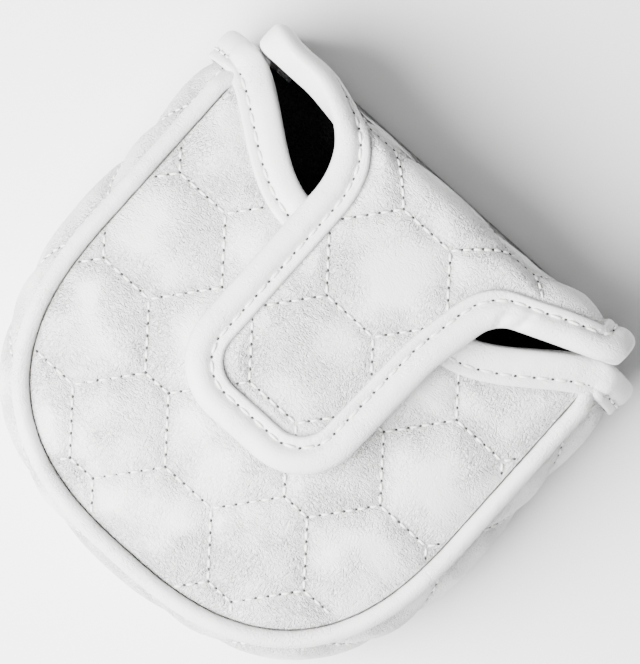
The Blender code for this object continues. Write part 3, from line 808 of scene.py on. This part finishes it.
def sew_row(name, stitches, surface, height, size, body):
    """A row of thread and dark beads of painted shade at each needle hole; size is the thread's radius and
    the share that shows.
    """
    thread = sew(name + "_thread", stitches, surface, height, *size, SEWING)
    hole_shade = hole_shade_beads(name + "_hole_shade", stitches, surface, height + HOLE_RAISE, HOLE_RADIUS, HOLE_SHADE)
    for obj in (thread, hole_shade):
        finish_piece(obj, "binding_leather", body)


def pile(a, b, seed):
    """The lining's pile: uneven by a fifth of a millimetre, on spots 1.7 mm wide."""
    return 0.2 * MM * soft_noise(a / (1.7 * MM), b / (1.7 * MM), seed)


def line_panel(name, surface, a, b, low, seed, node, body):
    """A plush lining panel over the flat coordinates a and b, with its pile on the side at low."""
    panel = closed_sheet(name, surface(a, b, low + LEATHER), surface(a, b, low + pile(a, b, seed)), PLUSH)
    finish_piece(panel, "plush_lining", body, node)


# ---------------------------------------------------------------- the pocket

SEAM_LINES = path_lines(SEAM[::6, 1:3])
MOUTH_ALONG, MOUTH_POINTS, MOUTH_OUT = mouth_path(EDGE_STEP)
MOUTH_LINES = path_lines(MOUTH_POINTS, 2)
FLAP_ALONG, FLAP_POINTS, FLAP_OUT = flap_path(EDGE_STEP)
FLAP_LINES = path_lines(FLAP_POINTS, 2)
SEAM_AT = SECTION[CROWN_STEPS - 1, 0]


def mouth_across(x):
    """The distance along the pocket's section at x on the crown."""
    return np.sign(x) * np.interp(np.abs(x), SECTION[:CROWN_STEPS, 1], SECTION[:CROWN_STEPS, 0])


def mouth_down(z):
    """The distance along the pocket's section at a height on the wall."""
    return np.interp(-z, -SECTION[CROWN_STEPS:, 2], SECTION[CROWN_STEPS:, 0])


def past_binding(a, b, lines):
    """How far a flat point lies past the inner edge of the binding, and where along it."""
    d, along, which = nearest_line(a, b, lines)
    return np.maximum(d - BINDING_WIDTH, 0), along + which * 2 * EDGE_STEP


def crown_plan(rows, columns, inset, front_inset):
    """x and y over the crown, inset from its seam, and from the mouth's edge by front_inset."""
    turn = np.linspace(-np.pi / 2, np.pi / 2, columns)
    across = np.sin(turn)
    x = (SEAM_X - inset) * across
    back = (SEAM_REAR - inset) * (1 - np.abs(across) ** SEAM_POWER) ** (1 / SEAM_POWER)
    root = MOUTH_POINTS - front_inset * MOUTH_OUT
    root_x = np.sign(root[:, 0]) * np.interp(np.abs(root[:, 0]), SECTION[:, 0], SECTION[:, 1])
    front = np.interp(x, root_x, root[:, 1])
    share = np.linspace(0, 1, rows)
    y = front[:, None] + (back - front)[:, None] * share
    return np.broadcast_to(x[:, None], y.shape), y


def wall_plan(rows, columns, inset, over, under):
    """Distance along the seam line and height over the wall, inset from the mouth's edge."""
    z = np.linspace(WALL_FOOT - under, WALL_TOP + over, columns)
    root = MOUTH_POINTS - inset * MOUTH_OUT
    heel = root[:, 0] > SEAM_AT
    down = mouth_down(np.clip(z, WALL_FOOT, WALL_TOP))
    start = np.interp(down, root[heel, 0], root[heel, 1]) - MOUTH_SIDE_Y
    share = np.linspace(0, 1, rows)
    along = start + (SEAM_LENGTH - 2 * start) * share[:, None]
    return along, np.broadcast_to(z, along.shape)


CROWN_SEAMS = quilt_lines((-SEAM_X, -50 * MM), (SEAM_X, SEAM_REAR), CROWN_QUILT)
WALL_SEAMS = quilt_lines((-SEAM_LENGTH / 2, 0), (SEAM_LENGTH / 2, 36 * MM), WALL_QUILT)


def build_crown():
    """The crown: its quilted cover, the stitching and the lining."""
    x, y = crown_plan(170, 200, 0, TUCK)
    edge, edge_along, which = nearest_line(x, y, SEAM_LINES)
    front, front_along = past_binding(mouth_across(x), y, MOUTH_LINES)
    at = np.where(front < edge, front_along, edge_along + which * 2 * MM)
    height, gather = quilted(x, y, CROWN_SEAMS, np.minimum(edge, front), at, 11)
    cover = closed_sheet("crown_cover", crown_at(x, y, height), crown_at(x, y, -LEATHER),
                         QUILT_LEATHER, {"gather": gather})
    finish_piece(cover, "quilted_leather", "pocket", "crown_leather")

    def inside(a, b):
        rear = np.maximum(b, 0) / SEAM_REAR
        s = (np.abs(a) / SEAM_X) ** SEAM_POWER + rear**SEAM_POWER
        past = nearest_line(mouth_across(a), b, MOUTH_LINES)[0]
        return (s < 0.965) & (past > BINDING_WIDTH + 0.5 * MM) & (b > mouth_edge(a))

    stitches = seam_stitches(CROWN_SEAMS, QUILT_STITCH, inside)
    sew_row("crown_quilting", stitches, crown_at, SEAM_FLOOR, QUILT_THREAD, "pocket")
    lining_x, lining_y = crown_plan(90, 110, 3.0 * MM, TUCK)
    line_panel("crown_plush", crown_at, lining_x, lining_y, -STACK, 21, "crown_lining", "pocket")


def build_wall():
    """The side wall: its quilted cover, the stitching and the lining."""
    along, z = wall_plan(400, 56, TUCK, WALL_OVER, WALL_UNDER)
    a = along - SEAM_LENGTH / 2
    edge = np.maximum(np.minimum(WALL_TOP + WALL_OVER - z, z - WALL_FOOT + WALL_UNDER), 0)
    y = MOUTH_SIDE_Y + np.minimum(along, SEAM_LENGTH - along)
    front, front_along = past_binding(mouth_down(z), y, MOUTH_LINES)
    at = np.where(front < edge, front_along, along)
    height, gather = quilted(a, z, WALL_SEAMS, np.minimum(edge, front), at, 31, WALL_FLOOR)
    cover = closed_sheet("wall_cover", wall_at(along, z, height), wall_at(along, z, WALL_FLOOR - 0.35 * MM),
                         QUILT_LEATHER, {"gather": gather})
    finish_piece(cover, "quilted_leather", "pocket", "gusset_leather")

    def inside(p, q):
        from_end = SEAM_LENGTH / 2 - np.abs(p)
        return (q > WALL_FOOT + 0.6 * MM) & (q < WALL_TOP - 0.6 * MM) & (from_end > BINDING_WIDTH + 1.0 * MM)

    def surface(p, q, height):
        return wall_at(p + SEAM_LENGTH / 2, q, height)

    stitches = seam_stitches(WALL_SEAMS, QUILT_STITCH, inside)
    sew_row("wall_quilting", stitches, surface, WALL_FLOOR, QUILT_THREAD, "pocket")
    along, z = wall_plan(160, 24, TUCK, -0.6 * MM, 0)
    line_panel("wall_plush", wall_at, along, z, -STACK, 41, "gusset_lining", "pocket")


def roll(name, along, out, height, radius, finish, seed, sink=0.0):
    """A piping roll: a round section carried along the seam line at a distance out and a height.

    Its radius varies by a few hundredths, as leather pulled round a cord does, and shrinks
    at each end by 0.6 + 0.4 sqrt(d / radius), d the distance to the end. Sink lowers its
    first and last five millimetres.
    """
    x, y, nx, ny = seam_at(along)
    end = np.minimum(along - along[0], along[-1] - along)
    drop = sink * (1 - smoothstep(end / (5 * MM)))
    sides = 20
    angle = 2 * np.pi * np.arange(sides) / sides
    swell = 1 + 0.03 * soft_noise(along[:, None] / (1.6 * MM), angle[None] * 2, seed)
    r = radius * swell * (0.6 + 0.4 * np.sqrt(np.minimum(end / radius, 1)))[:, None]
    side, up = np.cos(angle) * r, np.sin(angle) * r
    centre = out - drop
    px = x[:, None] + nx[:, None] * (centre[:, None] + side)
    py = y[:, None] + ny[:, None] * (centre[:, None] + side)
    pz = (height - drop)[:, None] + up
    gather = np.full(px.shape, 0.75)
    return closed_tube(name, np.stack([px, py, pz], -1), finish, {"gather": gather})


def roll_size(low, high):
    """A packed roll's distance out from the seam line, its height and its radius."""
    radius = (high[2] - low[2]) / 2
    return high[0] - radius - SEAM_X, (high[2] + low[2]) / 2, radius


def build_rolls():
    """The piping rolls over and under the side wall, each with its cord."""
    out, height, radius = roll_size(ROLL_LO, ROLL_HI)
    start = ROLL_LO[1] - MOUTH_SIDE_Y - 4.0 * MM
    along = np.linspace(start, SEAM_LENGTH - start, 420)
    crown = roll("crown_roll", along, out, height, radius, BINDING_LEATHER, 51, 1.0 * MM)
    finish_piece(crown, "quilted_leather", "pocket", "crown_piping")
    core = roll("crown_cord", along[8:-8], out, height - 0.4 * MM, CORD_RADIUS, CORD, 53)
    finish_piece(core, "piping_cord", "pocket", "crown_piping_cord")
    out, height, radius = roll_size(SOLE_ROLL_LO, SOLE_ROLL_HI)
    along = np.linspace(0, SEAM_LENGTH, 460)
    sole = roll("sole_roll", along, out, height, radius, BINDING_LEATHER, 52)
    finish_piece(sole, "quilted_leather", "pocket", "sole_piping")
    core = roll("sole_cord", along[8:-8], out, height, CORD_RADIUS, CORD, 54)
    finish_piece(core, "piping_cord", "pocket", "sole_piping_cord")


def build_sole():
    """The sole: flat, with its edge curled up a millimetre towards the roll, z = e^(-d / 1.2 mm) mm."""
    turn = np.linspace(-np.pi / 2, np.pi / 2, 90)
    x = SOLE_HI[0] * np.sin(turn)
    back = SOLE_HI[1] * (1 - np.abs(np.sin(turn)) ** SEAM_POWER) ** (1 / SEAM_POWER)
    share = np.linspace(0, 1, 100)
    y = SOLE_LO[1] + (back - SOLE_LO[1])[:, None] * share
    x = np.broadcast_to(x[:, None], y.shape)
    s = (np.abs(x) / SOLE_HI[0]) ** SEAM_POWER + (np.maximum(y, 0) / SOLE_HI[1]) ** SEAM_POWER
    d = np.minimum((1 - s) * SOLE_HI[0] / SEAM_POWER, y - SOLE_LO[1])
    lift = LEATHER * np.exp(-np.maximum(d, 0) / (1.2 * MM))
    # Gather near the edge deepens the grain and paints shade along the edge under the roll
    sole = closed_sheet("sole_cover", sole_at(x, y, -lift), sole_at(x, y, -LEATHER - lift), QUILT_LEATHER,
                        {"gather": np.exp(-np.maximum(d, 0) / (4 * MM))})
    finish_piece(sole, "quilted_leather", "pocket", "sole_leather")
    low = SOLE_LINING_LO[2]
    inset = SOLE_LINING_HI[0] / SOLE_HI[0]
    y = SOLE_LINING_LO[1] + (back * inset - SOLE_LINING_LO[1])[:, None] * share
    line_panel("sole_plush", lambda a, b, h: np.stack(np.broadcast_arrays(a, b, low - h), -1),
               x * inset, y, -LEATHER, 61, "sole_lining", "pocket")


# ---------------------------------------------------------------- bindings


def round_off(ring, times=2):
    """A closed outline with each corner cut at a quarter and three quarters, a few times over."""
    for _ in range(times):
        after = np.roll(ring, -1, axis=0)
        ring = np.stack([0.75 * ring + 0.25 * after, 0.25 * ring + 0.75 * after], 1).reshape(-1, 2)
    return ring


def binding_profile(stack, above, below):
    """The binding's section, as distance in from the edge and height over the leather, in metres.

    A flat lip by the groove, a dip along the stitching, then a full round over the edge
    to the same shape below, and back inside at the strip's own thickness.
    """
    half = [(8.0, -0.5), (8.1, 0.55), (7.6, 1.15), (6.9, 1.15), (6.3, 1.05), (5.7, 0.55), (5.1, 1.05),
            (4.3, 1.6), (3.2, 1.85), (2.0, 1.75), (0.9, 1.35), (0.1, 0.55), (-0.15, -0.7)]
    over = [(q, h * above) for q, h in half]
    under = [(q, -stack / MM - h * below) for q, h in half[::-1]]
    back = [(7.4, -stack / MM + 0.1), (1.4, -stack / MM + 0.1), (1.0, -stack / MM + 0.5), (1.0, -0.5),
            (1.4, -0.1), (7.4, -0.1)]
    return round_off(np.array(over + under + back) * MM)


def bind(name, along, points, out, surface, stack, swell, seed, bump=None, creases=()):
    """A binding: its profile carried along the flat edge, with small folds beside the stitching.

    A crease is a slanting dent where the strip bends: depth e^(-((t - place - slant (q - 3 mm)) / 0.7 mm)^2).
    """
    q, h = binding_profile(stack, *swell).T
    outer = smoothstep((np.abs(h + stack / 2) - stack / 2 + 0.2 * MM) / (0.8 * MM))
    by_stitch = np.exp(-np.abs(q - STITCH_IN) / (1.3 * MM))
    folds = soft_noise(along[:, None] / (1.25 * MM), q[None] / (2.4 * MM), seed)
    broad = soft_noise(along[:, None] / (7 * MM), q[None] / (9 * MM), seed + 1)
    rise = outer * (0.10 * MM * folds * (0.25 + by_stitch) + 0.12 * MM * broad)
    if bump is not None:
        rise = rise + outer * bump[:, None] * smoothstep((8.4 * MM - q) / (1.5 * MM))
    for spot, slant, depth in creases:
        near = (along[:, None] - spot - slant * (q[None] - 3 * MM)) / (0.7 * MM)
        rise = rise - outer * depth * np.exp(-near**2) * smoothstep((5.2 * MM - q) / (2 * MM))
    side = np.where(h > -stack / 2, 1.0, -1.0)
    a = points[:, 0, None] - q * out[:, 0, None]
    b = points[:, 1, None] - q * out[:, 1, None]
    # Gather deepens the grain and, in the leather finish, paints shade along the stitching dip
    gather = np.broadcast_to(0.15 + 0.7 * by_stitch, a.shape)
    return closed_tube(name, surface(a, b, h + side * rise), BINDING_LEATHER, {"gather": gather})


def stitch_binding(name, points, out, surface, stack, swell, body):
    """The row of stitching along a binding, over and under."""
    path = points - STITCH_IN * out
    row = path_stitches(path, EDGE_STITCH)
    dip = 0.78 * MM

    def under(a, b, height):
        return surface(a, b, -stack - height)

    sew_row(name + "_over", row, surface, dip * swell[0], EDGE_THREAD, body)
    sew_row(name + "_under", row, under, dip * swell[1], EDGE_THREAD, body)


def build_mouth_binding():
    """The binding of the pocket's mouth, raised at each corner by 1.3 mm e^(-(d / 2.6 mm)^2)."""
    corner = (SEAM_AT + SECTION[CROWN_STEPS, 0]) / 2
    bump = 1.3 * MM * np.exp(-(((np.abs(MOUTH_POINTS[:, 0]) - corner) / (2.6 * MM)) ** 2))
    strip = bind("mouth_edge", MOUTH_ALONG, MOUTH_POINTS, MOUTH_OUT, mouth_at, STACK, MOUTH_SWELL, 71, bump)
    finish_piece(strip, "binding_leather", "pocket", "mouth_binding")
    stitch_binding("mouth", MOUTH_POINTS, MOUTH_OUT, mouth_at, STACK, MOUTH_SWELL, "pocket")


# ---------------------------------------------------------------- the face panel and the flap

FOLD = ("face_panel", "flap", (0, MOUTH_SIDE_Y, 34 * MM), (0, -30 * MM, FLAP_HI[2]))


def flap_plan(rows, columns, inset):
    """x and distance along the flap, from the face's foot to the tongue's tip, inset from its edge."""
    points = np.round(FLAP_POINTS - inset * FLAP_OUT, 7)
    tip = int(np.argmax(points[:, 1]))
    end = points[tip, 1] - 0.01 * MM
    toe, heel = points[:tip + 1], points[tip:][points[tip:, 1] < end][::-1]
    level = TOP_START - 5.0 * MM - inset
    along = np.sort(np.append(np.linspace(0, end, rows), level))
    left = np.interp(along, toe[:, 1], toe[:, 0])
    right = np.interp(along, heel[:, 1], heel[:, 0])
    share = np.linspace(0, 1, columns)
    x = left[:, None] + (right - left)[:, None] * share
    return x, np.broadcast_to(along[:, None], x.shape)


def flat_flap(y):
    """The quilting's own coordinate on the flap: y over the crown, run on down round the fold."""
    return y - TOP_START + FACE_Y + FOLD_RADIUS


def nearest_along(x, y):
    """The distance along the flap's edge nearest to a place over the crown."""
    gap = np.hypot(FLAP_POINTS[:, 0] - x, FLAP_POINTS[:, 1] - along_at(y))
    return FLAP_ALONG[int(np.argmin(gap))]


def build_flap():
    """The flap in one piece from the face's foot to the tongue's tip: cover, foam, lining and edge."""
    seams = quilt_lines((-FACE_HALF, flat_flap(0)), (FACE_HALF, flat_flap(along_at(17 * MM))), FLAP_QUILT)
    seams[:, [1, 3]] += along_at(0)
    x, along = flap_plan(190, 134, TUCK)
    front, at = past_binding(x, along, FLAP_LINES)
    foot = along < 12 * MM
    edge = np.where(foot, np.minimum(front, along), front)
    height, gather = quilted(x, along, seams, edge, at, 81)
    cover = closed_sheet("flap_cover", flap_at(x, along, height), flap_at(x, along, -FLAP_SKIN),
                         QUILT_LEATHER, {"gather": gather})
    finish_piece(cover, "quilted_leather", FOLD, "face_leather", "flap_leather")

    def inside(a, b):
        d = nearest_line(a, b, FLAP_LINES)[0]
        left = np.interp(b, x_at[:, 0], x_at[:, 1])
        right = np.interp(b, x_at[:, 0], x_at[:, 2])
        return (d > BINDING_WIDTH + 0.5 * MM) & (a > left) & (a < right) & (b > 1.5 * MM) & (b < x_at[-1, 0])

    x_at = np.stack([along[:, 0], x[:, 0], x[:, -1]], 1)
    stitches = seam_stitches(seams, QUILT_STITCH, inside)
    sew_row("flap_quilting", stitches, flap_at, SEAM_FLOOR, QUILT_THREAD, FOLD)
    x, along = flap_plan(90, 60, 2.2 * MM)
    top, under = (flap_at(x, along, -depth) for depth in FLAP_FOAM)
    foam = closed_sheet("flap_padding", top, under, FOAM)
    finish_piece(foam, "padding_foam", FOLD, "face_foam", "flap_foam")
    x, along = flap_plan(120, 80, TUCK)
    plush = closed_sheet("flap_plush", flap_at(x, along, -FLAP_STACK + FLAP_SKIN),
                         flap_at(x, along, -FLAP_STACK + pile(x, along, 83)), PLUSH)
    finish_piece(plush, "plush_lining", FOLD, "face_lining", "flap_lining")
    bends = [nearest_along(-26.6 * MM, -40.1 * MM), nearest_along(-30.9 * MM, -42.2 * MM)]
    creases = [(bends[0], -0.6, 0.95 * MM), (bends[1], -0.6, 0.80 * MM)]
    strip = bind("flap_edge", FLAP_ALONG, FLAP_POINTS, FLAP_OUT, flap_at, FLAP_STACK, FLAP_SWELL, 91,
                 creases=creases)
    finish_piece(strip, "binding_leather", FOLD, "flap_binding", "face_binding_heel", "face_binding_toe")
    stitch_binding("flap", FLAP_POINTS, FLAP_OUT, flap_at, FLAP_STACK, FLAP_SWELL, FOLD)


def build_front_hinge():
    """The seam roll where the face panel joins the sole: a round of radius 1 mm (1 + 0.05 noise) along x."""
    x = np.linspace(FACE_LO[0], -FACE_LO[0], 150)
    sides = 14
    angle = 2 * np.pi * np.arange(sides) / sides
    r = 1.0 * MM * (1 + 0.05 * soft_noise(x[:, None] / (1.6 * MM), angle[None] * 2, 95))
    y = FACE_Y + FOOT_IN + 0.3 * MM + r * np.cos(angle)
    z = HINGE_HEIGHT["face_panel_fold"] + r * np.sin(angle)
    rings = np.stack([np.broadcast_to(x[:, None], y.shape), y, z], -1)
    seam = closed_tube("front_seam_roll", rings, BINDING_LEATHER, {"gather": np.full(y.shape, 0.8)})
    finish_piece(seam, "binding_leather", "pocket")


def build_front_lining():
    """The lining's strip over the front seam: flat, then y = -r sin t, z = r (1 - cos t), then upright."""
    low, back = SOLE_LINING_HI[2] + 0.35 * MM, FACE_LINING_HI[1] + 0.35 * MM
    r, straight = 2.5 * MM, np.linspace(1, 0, 12) * 5 * MM
    turn = np.concatenate([0 * straight, np.linspace(0, np.pi / 2, 20), 0 * straight + np.pi / 2])
    none = np.zeros(20)
    y = back + r - r * np.sin(turn) + np.concatenate([straight, none, 0 * straight])
    z = low + r - r * np.cos(turn) + np.concatenate([0 * straight, none, straight[::-1]])
    half = 42.3 * MM
    x = np.broadcast_to(np.linspace(-half, half, 90), (len(y), 90))
    over = along_path(np.stack([y, z], 1))[:, None]
    thick = 0.55 * MM + pile(x, over, 97)

    def side(height):
        return np.stack(np.broadcast_arrays(x, y[:, None] + height * np.sin(turn)[:, None],
                                            z[:, None] + height * np.cos(turn)[:, None]), -1)

    strip = closed_sheet("front_lining", side(thick), side(0 * thick), PLUSH)
    bend = ("pocket", "face_panel", (0, back + r + 1 * MM, low), (0, back, low + r + 6 * MM))
    finish_piece(strip, "plush_lining", bend)


build_crown()
build_wall()
build_rolls()
build_sole()
build_mouth_binding()
build_flap()
build_front_hinge()
build_front_lining()

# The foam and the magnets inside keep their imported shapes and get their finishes
for part, finish in {"foam": FOAM, "magnet": NICKEL}.items():
    for node, obj in frame["nodes"].items():
        if part in node:
            obj.data.materials.clear()
            obj.data.materials.append(finish)

# ---------------------------------------------------------------- stage


VIEW_TURN = math.radians(41.8)
VIEW_SPAN = 141.277 * MM
VIEW_CENTRE = (0.5 * MM, -11.9 * MM)
CAMERA_AWAY = 0.9


def set_floor():
    """A wide white floor, a twentieth of a millimetre under the sole."""
    half, z = 3.0, -0.05 * MM
    points = np.array([(-half, -half, z), (half, -half, z), (half, half, z), (-half, half, z)])
    finish = plain("white floor", (0.92, 0.92, 0.92), 0.9)
    make_mesh("floor", points, np.array([[0, 1, 2, 3]]), finish)


def set_camera():
    """A long lens straight above, turned so that the cover's front points up and to the right."""
    data = bpy.data.cameras.new("camera")
    data.sensor_width = 36
    data.lens = data.sensor_width * CAMERA_AWAY / VIEW_SPAN
    data.clip_start, data.clip_end = 0.05, 20
    camera = bpy.data.objects.new("camera", data)
    bpy.context.scene.collection.objects.link(camera)
    right = Vector((-math.cos(VIEW_TURN), -math.sin(VIEW_TURN), 0))
    up = Vector((math.sin(VIEW_TURN), -math.cos(VIEW_TURN), 0))
    place = Vector((*VIEW_CENTRE, CROWN_TOP + CAMERA_AWAY))
    camera.matrix_world = Matrix.Translation(place) @ Matrix((right, up, (0, 0, 1))).transposed().to_4x4()
    bpy.context.scene.camera = camera


def set_world(strength):
    """An even white surround."""
    world = bpy.data.worlds.new("studio")
    bpy.context.scene.world = world
    world.use_nodes = True
    background = world.node_tree.nodes["Background"]
    background.inputs["Color"].default_value = (1, 1, 1, 1)
    background.inputs["Strength"].default_value = strength


def area_light(name, place, size, power):
    """A round lamp of a diameter and a power, aimed at the middle of the cover."""
    lamp = bpy.data.lights.new(name, "AREA")
    lamp.shape, lamp.size, lamp.energy = "DISK", size, power
    obj = bpy.data.objects.new(name, lamp)
    bpy.context.scene.collection.objects.link(obj)
    obj.location = place
    middle = Vector((0, 0, 0.03))
    obj.rotation_euler = (middle - Vector(place)).to_track_quat("-Z", "Y").to_euler()


set_floor()
set_camera()
set_world(0.10)
area_light("key", (0.18, 0.33, 0.48), 0.62, 26.0)
area_light("top", (0.05, 0.05, 0.85), 0.60, 2.5)
